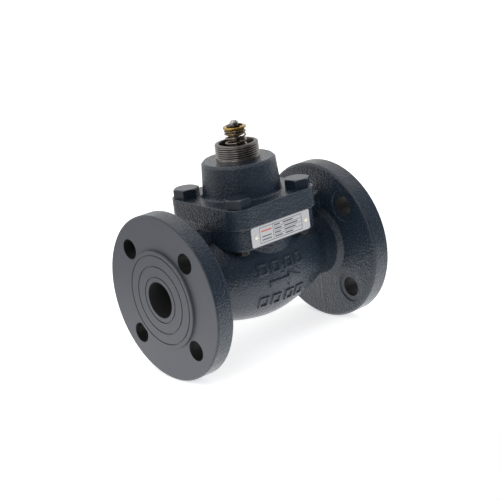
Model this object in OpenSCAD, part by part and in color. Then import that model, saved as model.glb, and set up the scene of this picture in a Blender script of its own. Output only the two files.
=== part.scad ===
// Two-way globe control valve with flanged ends and a spring-returned stem.
// Lengths are in millimetres. The origin is the centre of the inlet's raised face,
// X runs with the flow from inlet to outlet, and Z runs up the stem.
// Heights named _z are measured from the pipe's axis.

/* [Flanges] */
// Length from the inlet's raised face to the outlet's
face_to_face = 160; // [150:1:190]
// Bore of the inlet and the outlet
port_d = 25; // [20:0.5:28]
// Outside diameter of both flanges
flange_d = 115; // [108:1:130]
// Thickness of a flange, with its raised face
flange_t = 16; // [12:0.5:20]
// Gap between the raised sealing face and the bolt holes round it
raised_face_gap = 1.5; // [1:0.25:3.5]
// Height of the raised sealing face
raised_face_h = 2; // [1:0.25:3]
// Distance from a flange's rim to the circle that its bolts stand on
rim_w = 15; // [12.5:0.5:16]
// Diameter of a flange bolt hole
bolt_hole_d = 14; // [11:0.5:14]
// Number of bolt holes in a flange
bolt_hole_count = 4; // [4, 8]
// Diameter of the spot face behind a flange bolt hole
spot_face_d = 22; // [18:0.5:24]
// Width of a sealing groove in the raised face
groove_w = 0.9; // [0.5:0.1:1.4]
// Number of sealing grooves in a raised face
groove_count = 3; // [1:1:3]

/* [Body casting] */
// Diameter of the body's bowl at the stem
bowl_d = 71.2; // [69:0.2:76]
// Length of the bowl between the two necks
bowl_l = 100; // [96:1:106]
// Diameter of the neck behind a flange
neck_d = 46.6; // [44:0.2:52]
// Wall of the casting round the flow chambers
wall = 6; // [5:0.25:7]
// Distance from the bonnet bolts to the sides of the pad that carries the bonnet
pad_rim_w = 9; // [8.5:0.25:10]
// Thickness of the pad that carries the bonnet
pad_t = 15; // [13:0.5:17]
// Width of the web on top of each neck
web_w = 12; // [8:0.5:16]
// Height of the raised flow arrow and pads on the casting
relief_h = 0.8; // [0.5:0.1:1.2]

/* [Bonnet] */
// Height of the joint between body and bonnet above the bowl's crown
joint_rise = 4.4; // [3.4:0.2:8]
// Distance from the bonnet bolts to the sides of the bonnet's square plate
cover_rim_w = 10.5; // [10:0.25:12]
// Thickness of the bonnet's square plate
cover_t = 14; // [12:0.5:16]
// Corner radius of the plate and the pad
corner_r = 11; // [8:0.5:12]
// Gap between the gasket under the bonnet and the bolts round it
bolt_gasket_gap = 3.35; // [2.5:0.05:4.5]
// Thread diameter of a bonnet bolt
bolt_d = 10; // [8:0.5:10]
// Width across the flats of a bonnet bolt's head
bolt_head_w = 16; // [15:0.5:17]
// Height of a bonnet bolt's head
bolt_head_h = 6.4; // [5:0.2:8]
// Gap between the boss where it leaves the plate and the bolts' heads
boss_gap = 3.2; // [2.5:0.1:3.5]
// Width by which the boss draws in on its way up
boss_taper_w = 1.5; // [1:0.1:2.5]
// Height of the boss above the plate
boss_h = 23.8; // [22:0.2:28]

/* [Actuator neck] */
// Thread diameter of the neck that the actuator screws on to
actuator_d = 30; // [29:0.5:33]
// Height of the neck above the boss
actuator_h = 11.2; // [10:0.2:14]
// Pitch of the neck's thread
thread_pitch = 1.5; // [1:0.25:2]
// Plain part of the neck between the boss and its thread
thread_foot_gap = 1.3; // [0.8:0.1:5]
// Wall of the neck round the spring
neck_wall = 3; // [2.5:0.1:4]
// Depth of the neck's floor below the top of the boss
floor_depth = 7.8; // [6:0.2:9]

/* [Stem and plug] */
// Travel of the stem from open to closed
travel = 7; // [5:0.25:8]
// Diameter of the stem
stem_d = 6; // [5:0.25:7]
// Bore of the seat ring
seat_d = 22; // [19:0.25:22.5]
// Width by which the plug's balanced piston reaches past the seat's bore
plug_rim_w = 1.45; // [1.25:0.05:2]
// Length of the plug's shaped nose
nose_l = 10; // [8:0.25:12]
// Height of the bridge's upper face above the pipe's axis
bridge_top_z = 3; // [2:0.25:4]
// Thickness of the bridge that holds the seat ring
bridge_t = 8; // [6:0.25:9]

/* [Stem packing] */
// Number of packing rings
packing_count = 4; // [3:1:4]
// Height of one packing ring
packing_ring_h = 2; // [1.5:0.1:2.2]
// Bore of the packing chamber
packing_d = 14; // [13:0.25:15]
// Length of the gland nut's shank, above the packing
gland_shank_l = 3.45; // [3:0.05:5]

/* [Return spring] */
// Outside diameter of the spring
spring_d = 16; // [15:0.25:17]
// Diameter of the spring's wire
wire_d = 1.25; // [1:0.05:1.3]
// Number of curls
coils = 9; // [8:0.5:10]
// Rise of the closed curl at each end
end_pitch = 1.75; // [1.75:0.05:2]
// Height of the spring's top above the neck with the stem pushed home
spring_proud = 2.5; // [1:0.25:4]
// Width by which the spring reaches past its brass retainer
retainer_gap = 0.05; // [0:0.05:0.4]
// Height of the stem's tip above its retaining ring
tip_h = 3.1; // [2.5:0.1:5]

/* [Nameplate] */
// Distance from the pad's sides to the ends of the nameplate
plate_side_gap = 10; // [9:0.5:16]
// Height of the pad that shows under the nameplate
plate_foot_gap = 1; // [0.8:0.1:4]
// Thickness of the nameplate
plate_t = 0.8; // [0.5:0.1:1.2]
// Distance from a rivet to the end of the nameplate
rivet_inset = 3.7; // [2.5:0.1:6]
// Diameter of a rivet's head
rivet_d = 3; // [2.4:0.1:3.4]

/* [Hidden] */

// Clearance on the radius of every fit, and the overrun of every cut
slip = 0.05;
over = 1;
// Gap that is left between the closed plug and its seat
seat_gap = 0.05;
fine = 96;
small = 48;

// Casting
stem_x = face_to_face / 2;
half_l = stem_x - flange_t;
bolt_circle_d = flange_d - 2 * rim_w;
raised_face_d = bolt_circle_d - bolt_hole_d - 2 * raised_face_gap;
joint_z = bowl_d / 2 + joint_rise;
bowl_power = 1.8;
cavity_share = 0.84;
cavity_l = bowl_l * cavity_share;
cavity_d = bowl_d - 2 * wall;
casting_steps = 44;
cavity_steps = 28;
neck_fillet = 4;
flange_bevel = 1;
back_bevel = 1.5;
spot_face_depth = 0.6;
groove_depth = 0.6;
groove_pitch_share = 0.35;
groove_first_share = 0.4;
groove_pitch = (raised_face_d - port_d) / 2 * groove_pitch_share;
groove_first_r = port_d / 2 + groove_pitch * groove_first_share;
bolt_hole_turn = 180 / bolt_hole_count;
pad_bottom_z = joint_z - pad_t;
web_drop = 4;
web_top_z = joint_z - web_drop;
web_bevel = 3;

// Flow arrow, and rows of blank cast frames above and below it, on the near side of the bowl
arrow_l = 28;
arrow_w = 10;
arrow_head_l = 12;
arrow_line = 4.6;
arrow_shift_x = 1;
arrow_z = -3.6;
mark_rows_z = [8, -16];
mark_shift_x = -1;
mark_w = 7.4;
mark_h = 8;
mark_line = 1.4;
mark_pitch = 10;
mark_break = 1.5;

// Chambers and trim
partition_t = 6;
plug_d = seat_d + 2 * plug_rim_w;
chamber_gap = 7.5;
chamber_d = plug_d + 2 * chamber_gap;
seat_flange_h = 4;
seat_flange_w = 6;
seat_body_w = 3;
seat_gasket_t = 1;
seat_gasket_inset = 0.5;
seat_top_z = bridge_top_z + seat_gasket_t + seat_flange_h;
seat_chamfer = 1.2;
seat_flange_d = seat_d + 2 * seat_flange_w;
seat_body_d = seat_d + 2 * seat_body_w;
spigot_l = 4;
sleeve_flange_t = 2.2;
sleeve_flange_w = 4;
sleeve_seal_t = 0.8;
sleeve_wall = 3;
sleeve_gap = 2;
sleeve_bore_d = plug_d + 2 * slip;
sleeve_d = sleeve_bore_d + 2 * sleeve_wall;
sleeve_flange_d = chamber_d + 2 * sleeve_flange_w;
body_bore_d = sleeve_flange_d + 2 * slip;
ledge_z = joint_z - spigot_l - sleeve_flange_t - sleeve_seal_t;
sleeve_bottom_z = seat_top_z + travel + sleeve_gap;
seal_gap = 0.1;
gasket_w = 5.6;
gasket_t = 1.5;
gasket_bore_gap = 0.25;
gasket_bore_d = body_bore_d + 2 * gasket_bore_gap;
gasket_d = gasket_bore_d + 2 * gasket_w;

// Bolts of the bonnet, on a square round its gasket, and the widths that follow them
bonnet_circle_d = gasket_d + 2 * bolt_gasket_gap + bolt_d;
bolt_pitch = bonnet_circle_d / sqrt(2);
bolt_reach = bolt_pitch / 2;
bolt_hole_gap = 0.5;
bolt_end_l = 4.5;
bolt_end_gap = 0.5;
bolt_end_z = pad_bottom_z - bolt_end_l;
bolt_shank_l = cover_t + pad_t + bolt_end_l;
bolt_corner_chamfer = 1;
bolt_turns = [3, 42, 38, 20];
throat_gap = 1.2;
throat_d = bonnet_circle_d - bolt_d - 2 * throat_gap;
pad_w = bolt_pitch + 2 * pad_rim_w;
cover_w = bolt_pitch + 2 * cover_rim_w;
boss_d = bonnet_circle_d - bolt_head_w - 2 * boss_gap;
boss_top_d = boss_d - 2 * boss_taper_w;

// Heights of the bonnet and the neck
spigot_z = joint_z - spigot_l;
cover_z = joint_z + cover_t;
boss_z = cover_z + boss_h;
neck_top_z = boss_z + actuator_h;
floor_z = boss_z - floor_depth;
floor_t = 3;
neck_seal_t = 1;
socket_z = floor_z - floor_t - neck_seal_t;
boss_bevel = 1.5;
boss_fillet = 2;
neck_bevel = 0.8;
neck_step = 0.5;
neck_foot_d = actuator_d - 2 * neck_step;
thread_depth_share = 0.45;
thread_crest_share = 0.3;
thread_depth = thread_pitch * thread_depth_share;
thread_turns = floor((actuator_h - neck_bevel - thread_foot_gap) / thread_pitch);
spring_chamber_d = actuator_d - 2 * neck_wall;

// Packing, from the gland nut down to the guide bush, which fills what is left
stem_gap = 0.3;
follower_t = 2;
packing_rise = 0.8;
packing_gap = 0.05;
packing_washer_t = 1.5;
packing_pitch = packing_ring_h + packing_gap;
gland_z = socket_z - gland_shank_l;
follower_z = gland_z - follower_t;
rings_z = follower_z - packing_rise - packing_count * packing_pitch;
packing_z = rings_z - packing_gap - packing_washer_t;
shoulder_t = 2;
bush_z = spigot_z + shoulder_t;
bush_l = packing_z - bush_z;
bush_wall = 2.4;
bush_d = stem_d + 2 * bush_wall;
gland_hex_w = 14;
gland_hex_gap = 0.6;
gland_hex_drop = 0.3;
gland_hex_h = floor_z - socket_z - gland_hex_drop;
wiper_t = 1.6;
wiper_w = 2;

// Spring and what it stands between
spring_seat_t = 1.2;
spring_seat_edge_gap = 0.2;
spring_seat_bore_gap = 1.5;
spring_foot_z = floor_z + spring_seat_t;
spring_top_z = neck_top_z + travel + spring_proud;
rings_per_curl = 8;
wire_sides = 6;
spring_end_angle = 290;
spring_seat_gap = 0.05;
end_curl_share = 0.8;
full_curl_share = 2;
retainer_flange_t = 1.5;
retainer_edge = 0.3;
retainer_d = spring_d - 2 * retainer_gap;
retainer_hub_l = 4.5;
retainer_hub_gap = 0.15;
retainer_z = spring_top_z;
retainer_top_z = retainer_z + retainer_flange_t;
ring_t = 0.8;
ring_w = 2.4;
ring_d = stem_d + 2 * ring_w;
ring_groove_depth = 0.6;
ring_slot_share = 0.75;
ring_slot_w = stem_d * ring_slot_share;
ring_turn = -60;
stem_top_z = retainer_top_z + ring_t + tip_h;
stem_foot_bevel = 0.6;
tip_bevel = 1.2;

// Plug at rest, which is the open position, with its top against the bonnet's spigot
stop_gap = 0.05;
plug_z = seat_top_z + travel + seat_gap;
plug_top_z = spigot_z - stop_gap;
plug_l = plug_top_z - plug_z;
plug_seal_t = 3;
plug_seal_inset = 3;
plug_seal_z = plug_top_z - plug_seal_inset - plug_seal_t;
plug_seal_w = 2;
socket_floor_share = 0.4;
socket_l = plug_l - (plug_seal_z - plug_z) * socket_floor_share;
pin_d = 2.5;
pin_share = 0.6;
pin_z = plug_z + (plug_seal_z - plug_z) * pin_share;
pin_inset = 1;
pin_l = plug_d - 2 * pin_inset;
relief_hole_d = 2.5;
relief_hole_share = 0.62;
relief_hole_r = stem_d / 2 + (plug_d / 2 - plug_seal_w - stem_d / 2) * relief_hole_share;
relief_hole_count = 4;

// Plate
plate_corner_r = 1.5;
plate_drop = 0.2;
plate_l = pad_w - 2 * plate_side_gap;
plate_h = pad_t - plate_drop - plate_foot_gap;
plate_z = joint_z - plate_drop - plate_h;
rivet_pitch = plate_l - 2 * rivet_inset;
rivet_head_h = 1;
rivet_shank_share = 0.55;
rivet_shank_d = rivet_d * rivet_shank_share;
rivet_shank_l = 4;

function bell(x, end_r, mid_r, length) =
    end_r + (mid_r - end_r) * max(0, 1 - pow(abs(x) / (length / 2), bowl_power));

// Rise of a quarter-round fillet that ends at x = end
function fillet_rise(x, end, r) =
    let (u = min(r, max(0, abs(x) - (end - r))))
    r - sqrt(r * r - u * u);

function casting_r(x) =
    bell(x, neck_d / 2, bowl_d / 2, bowl_l) + fillet_rise(x, half_l, neck_fillet);

function span(from, to, steps) = [for (i = [0:steps]) from + (to - from) * i / steps];

// A body of revolution about the X axis, from points given as [radius, x]
module along_x(points) {
    rotate([0, 90, 0]) rotate_extrude($fn = fine) polygon(points);
}

// A body of revolution about the stem, from points given as [radius, height]
module about_stem(points, sides = fine) {
    translate([stem_x, 0, 0]) rotate_extrude($fn = sides) polygon(points);
}

// A plain ring about the stem
module stem_ring(outer_d, inner_d, bottom_z, height, sides = fine) {
    about_stem([
        [inner_d / 2, bottom_z], [outer_d / 2, bottom_z],
        [outer_d / 2, bottom_z + height], [inner_d / 2, bottom_z + height]
    ], sides);
}

// A round cut down the stem's axis
module stem_bore(d, bottom_z, top_z) {
    translate([stem_x, 0, bottom_z]) cylinder(h = top_z - bottom_z, d = d, $fn = fine);
}

module rounded_square(width, r) {
    side = width - 2 * r;
    square([width, side], center = true);
    square([side, width], center = true);
    for (sx = [-1, 1], sy = [-1, 1])
        translate([sx * side / 2, sy * side / 2]) circle(r = r, $fn = small);
}

module at_bonnet_bolts() {
    for (sx = [-1, 1], sy = [-1, 1])
        translate([stem_x + sx * bolt_reach, sy * bolt_reach, 0]) children();
}

// A flange with its raised face at x = 0 and its back towards +X
module flange() {
    r = flange_d / 2;
    face_r = raised_face_d / 2;
    along_x([
        [0, 0], [face_r - flange_bevel / 2, 0], [face_r, flange_bevel / 2],
        [face_r, raised_face_h], [r - flange_bevel, raised_face_h],
        [r, raised_face_h + flange_bevel], [r, flange_t - back_bevel],
        [r - back_bevel, flange_t], [0, flange_t]
    ]);
}

module flange_cuts() {
    for (i = [0:bolt_hole_count - 1])
        rotate([bolt_hole_turn + i * 360 / bolt_hole_count, 0, 0])
            translate([0, 0, bolt_circle_d / 2]) rotate([0, 90, 0]) {
                translate([0, 0, -over])
                    cylinder(h = flange_t + 2 * over, d = bolt_hole_d, $fn = small);
                translate([0, 0, flange_t - spot_face_depth])
                    cylinder(h = spot_face_depth + over, d = spot_face_d, $fn = small);
            }
    for (i = [0:groove_count - 1])
        along_x([
            [groove_first_r + i * groove_pitch, -over],
            [groove_first_r + i * groove_pitch + groove_w, -over],
            [groove_first_r + i * groove_pitch + groove_w, groove_depth],
            [groove_first_r + i * groove_pitch, groove_depth]
        ]);
}

// Places its child at the inlet, and turned about the stem at the outlet
module at_both_ends() {
    children();
    translate([face_to_face, 0, 0]) rotate([0, 0, 180]) children();
}

// The wall between inlet and outlet: down from the roof, along the bridge
// with the seat, and on down to the floor of the bowl
module partition() {
    bottom_z = bridge_top_z - bridge_t;
    wing_x = chamber_d / 2;
    foot_x = wing_x + partition_t;
    reach_z = bowl_d / 2;
    depth = bowl_d;
    translate([stem_x, depth / 2, 0]) rotate([90, 0, 0]) linear_extrude(depth)
        polygon([
            [-foot_x - partition_t / 2, reach_z], [-wing_x - partition_t / 2, reach_z],
            [-wing_x + partition_t / 2, bridge_top_z], [wing_x + partition_t / 2, bridge_top_z],
            [foot_x + partition_t / 2, -reach_z], [wing_x + partition_t / 2, -reach_z],
            [wing_x - partition_t / 2, bottom_z], [-wing_x - partition_t / 2, bottom_z]
        ]);
}

module flow_chambers() {
    points = [for (x = span(-cavity_l / 2, cavity_l / 2, cavity_steps))
        [bell(x, port_d / 2, cavity_d / 2, cavity_l), stem_x + x]];
    difference() {
        along_x(concat([[0, stem_x - cavity_l / 2]], points, [[0, stem_x + cavity_l / 2]]));
        partition();
    }
    port_l = stem_x - cavity_l / 2;
    at_both_ends() translate([-over, 0, 0]) rotate([0, 90, 0])
        cylinder(h = port_l + 2 * over, d = port_d, $fn = fine);
}

// Web from the pad to the flange on top of a neck, seen from the side
module webs() {
    at_both_ends() translate([0, web_w / 2, 0]) rotate([90, 0, 0]) linear_extrude(web_w)
        polygon([
            [flange_t - over, 0], [stem_x, 0], [stem_x, web_top_z],
            [flange_t + web_bevel, web_top_z], [flange_t - over, web_top_z + web_bevel]
        ]);
}

// Outline of the flow arrow, pointing to the outlet
module arrow() {
    neck_x = arrow_l / 2 - arrow_head_l;
    polygon([
        [-arrow_l / 2, -arrow_line / 2], [neck_x, -arrow_line / 2], [neck_x, -arrow_w / 2],
        [arrow_l / 2, 0], [neck_x, arrow_w / 2], [neck_x, arrow_line / 2],
        [-arrow_l / 2, arrow_line / 2]
    ]);
}

// One blank frame, and a row of two pairs of them
module mark() {
    difference() {
        square([mark_w, mark_h], center = true);
        square([mark_w - 2 * mark_line, mark_h - 2 * mark_line], center = true);
    }
}

module mark_row() {
    for (side = [-1, 1], i = [0, 1])
        translate([side * ((mark_pitch + mark_break) / 2 + i * mark_pitch), 0]) mark();
}

module relief() {
    intersection() {
        rotate([90, 0, 0]) linear_extrude(bowl_d) {
            translate([stem_x + arrow_shift_x, arrow_z]) arrow();
            for (z = mark_rows_z) translate([stem_x + mark_shift_x, z]) mark_row();
        }
        along_x(concat(
            [[0, stem_x - half_l]],
            [for (x = span(-half_l, half_l, casting_steps)) [casting_r(x) + relief_h, stem_x + x]],
            [[0, stem_x + half_l]]
        ));
    }
}

module valve_body() {
    color("#3d434c") difference() {
        union() {
            at_both_ends() flange();
            along_x(concat(
                [[0, flange_t - over], [casting_r(half_l), flange_t - over]],
                [for (x = span(-half_l, half_l, casting_steps)) [casting_r(x), stem_x + x]],
                [[casting_r(half_l), stem_x + half_l + over], [0, stem_x + half_l + over]]
            ));
            translate([stem_x, 0, pad_bottom_z]) linear_extrude(pad_t) rounded_square(pad_w, corner_r);
            stem_bore(throat_d, 0, pad_bottom_z + over);
            webs();
            relief();
        }
        at_both_ends() flange_cuts();
        flow_chambers();
        stem_bore(seat_body_d + 2 * slip, bridge_top_z - bridge_t - over, bridge_top_z + over);
        stem_bore(chamber_d, bridge_top_z, ledge_z + over);
        stem_bore(body_bore_d, ledge_z, joint_z + over);
        stem_bore(gasket_d + 2 * slip, joint_z - gasket_t, joint_z + over);
        at_bonnet_bolts() translate([0, 0, bolt_end_z - bolt_end_gap])
            cylinder(h = joint_z - bolt_end_z + bolt_end_gap + over, d = bolt_d + 2 * slip, $fn = small);
        at_rivets() translate([0, 0, -rivet_shank_l - over])
            cylinder(h = rivet_shank_l + 2 * over, d = rivet_shank_d + 2 * slip, $fn = small);
    }
}

module seat_gasket() {
    color("#8a8d8f") stem_ring(
        seat_flange_d - 2 * seat_gasket_inset, seat_body_d + 2 * seal_gap, bridge_top_z,
        seat_gasket_t);
}

module seat_ring() {
    bottom_z = bridge_top_z - bridge_t;
    flange_z = bridge_top_z + seat_gasket_t;
    color("#b9bcc0") about_stem([
        [seat_d / 2, bottom_z], [seat_body_d / 2, bottom_z], [seat_body_d / 2, flange_z],
        [seat_flange_d / 2, flange_z], [seat_flange_d / 2, seat_top_z],
        [seat_d / 2 + seat_chamfer, seat_top_z], [seat_d / 2, seat_top_z - seat_chamfer]
    ]);
}

module bonnet() {
    foot_r = boss_d / 2;
    top_r = boss_top_d / 2;
    color("#3a4049") difference() {
        union() {
            translate([stem_x, 0, joint_z]) linear_extrude(cover_t) rounded_square(cover_w, corner_r);
            about_stem(concat(
                [[0, spigot_z], [body_bore_d / 2 - slip, spigot_z],
                 [body_bore_d / 2 - slip, joint_z + over], [foot_r, joint_z + over]],
                [for (a = [0:15:90])
                    [foot_r + boss_fillet * (1 - sin(a)), cover_z + boss_fillet * (1 - cos(a))]],
                [[top_r, boss_z - boss_bevel], [top_r - boss_bevel, boss_z], [0, boss_z]]
            ));
        }
        stem_bore(stem_d + 2 * stem_gap, spigot_z - over, bush_z + over);
        stem_bore(bush_d + 2 * slip, bush_z, packing_z + over);
        stem_bore(packing_d, packing_z, socket_z + over);
        stem_bore(neck_foot_d + 2 * slip, socket_z, boss_z + over);
        at_bonnet_bolts() translate([0, 0, joint_z - over])
            cylinder(h = cover_t + 2 * over, d = bolt_d + 2 * bolt_hole_gap, $fn = small);
    }
}

module bonnet_gasket() {
    color("#5b5f63") stem_ring(gasket_d, gasket_bore_d, joint_z - gasket_t, gasket_t);
}

// Hexagon head with a chamfered rim, on a shank with a chamfered end
module bonnet_bolt(turn) {
    corner_r = bolt_head_w / sqrt(3);
    flat_r = bolt_head_w / 2;
    translate([0, 0, cover_z]) {
        intersection() {
            rotate([0, 0, turn]) cylinder(h = bolt_head_h, r = corner_r, $fn = 6);
            rotate_extrude($fn = small) polygon([
                [0, 0], [corner_r + over, 0], [corner_r + over, bolt_head_h - bolt_corner_chamfer],
                [flat_r - bolt_corner_chamfer / 2, bolt_head_h], [0, bolt_head_h]
            ]);
        }
        translate([0, 0, -bolt_shank_l]) rotate_extrude($fn = small) polygon([
            [0, 0], [bolt_d / 2 - bolt_corner_chamfer, 0], [bolt_d / 2, bolt_corner_chamfer],
            [bolt_d / 2, bolt_shank_l + bolt_head_h / 2], [0, bolt_shank_l + bolt_head_h / 2]
        ]);
    }
}

module bonnet_bolts() {
    color("#2f343b")
        for (i = [0:3]) let (sx = i % 2 == 0 ? -1 : 1, sy = i < 2 ? -1 : 1)
            translate([stem_x + sx * bolt_reach, sy * bolt_reach, 0]) bonnet_bolt(bolt_turns[i]);
}

// Neck: a threaded tube whose shoulder and seal stand on the boss, with a floor for the spring
module actuator_neck() {
    r = actuator_d / 2;
    foot_r = neck_foot_d / 2;
    bore_r = spring_chamber_d / 2;
    hole_r = (gland_hex_w / sqrt(3)) + gland_hex_gap;
    root_r = r - thread_depth;
    thread_z = neck_top_z - neck_bevel - thread_turns * thread_pitch;
    crest = thread_pitch * thread_crest_share;
    flank = (thread_pitch - crest) / 2;
    turns = [for (i = [0:thread_turns - 1]) let (z = thread_z + i * thread_pitch)
        each [[r, z], [root_r, z + flank], [r, z + 2 * flank]]];
    color("#4a4744") about_stem(concat(
        [[hole_r, floor_z - floor_t], [foot_r - neck_bevel / 2, floor_z - floor_t],
         [foot_r, floor_z - floor_t + neck_bevel / 2], [foot_r, boss_z], [r, boss_z]],
        turns,
        [[r, neck_top_z - neck_bevel], [r - neck_bevel, neck_top_z],
         [bore_r + neck_bevel / 2, neck_top_z], [bore_r, neck_top_z - neck_bevel / 2],
         [bore_r, floor_z], [hole_r, floor_z]]
    ));
}

module neck_seal() {
    color("#9a5b34") stem_ring(
        neck_foot_d - 2 * neck_bevel, (gland_hex_w / sqrt(3) + gland_hex_gap) * 2, socket_z,
        neck_seal_t);
}

module sleeve_seal() {
    color("#d9d6cf") stem_ring(sleeve_flange_d, chamber_d + 2 * seal_gap, ledge_z, sleeve_seal_t);
}

module balance_sleeve() {
    bore_r = sleeve_bore_d / 2;
    flange_z = ledge_z + sleeve_seal_t;
    color("#a9adb2") about_stem([
        [bore_r + seat_chamfer / 2, sleeve_bottom_z], [sleeve_d / 2, sleeve_bottom_z],
        [sleeve_d / 2, flange_z], [sleeve_flange_d / 2, flange_z],
        [sleeve_flange_d / 2, spigot_z], [bore_r, spigot_z],
        [bore_r, sleeve_bottom_z + seat_chamfer / 2]
    ]);
}

// Plug with a shaped nose, a seating cone and a balanced piston
module plug() {
    r = plug_d / 2;
    seat_r = seat_d / 2;
    edge_r = seat_r + seat_chamfer - seat_gap;
    nose_shares = [[0.46, 1], [0.7, 0.82], [0.86, 0.55], [0.95, 0.28], [0.985, 0.12]];
    color("#a4a8ad") difference() {
        about_stem(concat(
            [[0, plug_z - nose_l]],
            [for (s = nose_shares) [seat_r * s[0], plug_z - nose_l * s[1]]],
            [[edge_r, plug_z], [r, plug_z + seat_chamfer / 2], [r, plug_seal_z],
             [r - plug_seal_w, plug_seal_z], [r - plug_seal_w, plug_seal_z + plug_seal_t],
             [r, plug_seal_z + plug_seal_t], [r, plug_top_z - seat_chamfer / 2],
             [r - seat_chamfer / 2, plug_top_z], [0, plug_top_z]]
        ));
        stem_bore(stem_d + 2 * slip, plug_top_z - socket_l, plug_top_z + over);
        translate([stem_x, 0, pin_z]) rotate([0, 90, 0])
            cylinder(h = plug_d + 2 * over, d = pin_d + 2 * slip, center = true, $fn = small);
        for (i = [0:relief_hole_count - 1])
            translate([stem_x, 0, 0]) rotate([0, 0, (i + 0.5) * 360 / relief_hole_count])
                translate([relief_hole_r, 0, plug_z - nose_l - over])
                    cylinder(h = nose_l + plug_l + 2 * over, d = relief_hole_d, $fn = small);
    }
}

module piston_seal() {
    color("#e2ded4") stem_ring(
        plug_d, plug_d - 2 * plug_seal_w + 2 * slip, plug_seal_z + slip, plug_seal_t - 2 * slip);
}

module plug_pin() {
    color("#c4c7ca") translate([stem_x, 0, pin_z]) rotate([0, 90, 0])
        cylinder(h = pin_l, d = pin_d, center = true, $fn = small);
}

module stem() {
    r = stem_d / 2;
    groove_r = r - ring_groove_depth;
    bottom_z = plug_top_z - socket_l + slip;
    color("#d3d5d8") difference() {
        about_stem([
            [0, bottom_z], [r - stem_foot_bevel, bottom_z], [r, bottom_z + stem_foot_bevel],
            [r, retainer_top_z], [groove_r, retainer_top_z], [groove_r, retainer_top_z + ring_t],
            [r, retainer_top_z + ring_t], [r, stem_top_z - tip_bevel],
            [r - tip_bevel, stem_top_z], [0, stem_top_z]
        ], small);
        translate([stem_x, 0, pin_z]) rotate([0, 90, 0])
            cylinder(h = stem_d + 2 * over, d = pin_d + 2 * slip, center = true, $fn = small);
    }
}

module guide_bush() {
    color("#b08d4c") stem_ring(bush_d, stem_d + 2 * slip, bush_z, bush_l, small);
}

module packing_washer() {
    color("#c0b287")
        stem_ring(packing_d - 2 * slip, stem_d + 2 * stem_gap, packing_z, packing_washer_t, small);
}

// Chevron rings, nested point upwards
module packing_rings() {
    inner_r = stem_d / 2 + slip;
    outer_r = packing_d / 2 - slip;
    mid_r = (inner_r + outer_r) / 2;
    color("#ece7da") for (i = [0:packing_count - 1]) let (z = rings_z + i * packing_pitch)
        about_stem([
            [inner_r, z], [mid_r, z + packing_rise], [outer_r, z], [outer_r, z + packing_ring_h],
            [mid_r, z + packing_rise + packing_ring_h], [inner_r, z + packing_ring_h]
        ], small);
}

module packing_follower() {
    color("#b08d4c")
        stem_ring(packing_d - 2 * slip, stem_d + 2 * stem_gap, follower_z, follower_t, small);
}

// Nut that presses the packing: a threaded shank, and a hexagon in the neck's floor
module gland_nut() {
    hex_top_z = socket_z + gland_hex_h;
    color("#a98a45") difference() {
        union() {
            stem_bore(packing_d - 2 * slip, gland_z, socket_z + over);
            translate([stem_x, 0, socket_z])
                cylinder(h = gland_hex_h, r = gland_hex_w / sqrt(3), $fn = 6);
        }
        stem_bore(stem_d + 2 * stem_gap, gland_z - over, hex_top_z + over);
        stem_bore(stem_d + 2 * wiper_w + 2 * slip, hex_top_z - wiper_t, hex_top_z + over);
    }
}

module wiper_ring() {
    color("#26282b") stem_ring(
        stem_d + 2 * wiper_w, stem_d + 2 * slip, socket_z + gland_hex_h - wiper_t, wiper_t, small);
}

module spring_seat() {
    color("#8d9095") stem_ring(
        spring_chamber_d - 2 * spring_seat_edge_gap, stem_d + 2 * spring_seat_bore_gap, floor_z,
        spring_seat_t, small);
}

// Rise of the spring after t curls from an end: a closed curl, a smooth change, then full pitch
function full_curls(t) =
    let (u = min(1, max(0, (t - end_curl_share) / (full_curl_share - end_curl_share))))
    max(0, t - full_curl_share) + (full_curl_share - end_curl_share) * (pow(u, 3) - pow(u, 4) / 2);

spring_rise = spring_top_z - spring_foot_z - 2 * spring_seat_gap - wire_d;
spring_pitch = end_pitch + (spring_rise / 2 - end_pitch * coils / 2) / full_curls(coils / 2);

function half_rise(t) = end_pitch * t + (spring_pitch - end_pitch) * full_curls(t);
function curl_rise(t) = t < coils / 2 ? half_rise(t) : spring_rise - half_rise(coils - t);

// Points of the wire's section number i, from the foot of the spring
function wire_section(i) =
    let (
        t = i / rings_per_curl,
        angle = spring_end_angle + 360 * (t - coils),
        mean_r = (spring_d - wire_d) / 2,
        z = spring_foot_z + spring_seat_gap + wire_d / 2 + curl_rise(t)
    )
    [for (k = [0:wire_sides - 1])
        let (a = 360 * k / wire_sides, r = mean_r + wire_d / 2 * cos(a))
        [r * cos(angle), r * sin(angle), z + wire_d / 2 * sin(a)]];

module stem_spring() {
    sections = coils * rings_per_curl;
    rings = [for (i = [0:sections]) wire_section(i)];
    points = [for (ring = rings) each ring];
    last = sections * wire_sides;
    sides = [for (i = [0:sections - 1], k = [0:wire_sides - 1])
        let (
            a = i * wire_sides + k,
            b = i * wire_sides + (k + 1) % wire_sides,
            c = a + wire_sides,
            d = b + wire_sides
        )
        each [[a, b, d], [a, d, c]]];
    foot = [for (k = [1:wire_sides - 2]) [0, k + 1, k]];
    head = [for (k = [1:wire_sides - 2]) [last, last + k, last + k + 1]];
    half_curl = rings_per_curl / 2;
    gaps = [for (i = [0:sections - half_curl], j = [i + half_curl:sections])
        each [for (p = rings[i], q = rings[j]) norm(p - q)]];
    echo(str("Least gap between the spring's curls: ", min(gaps), " mm"));
    color("#8f8d88") translate([stem_x, 0, 0])
        polyhedron(points = points, faces = concat(sides, foot, head));
}

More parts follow.
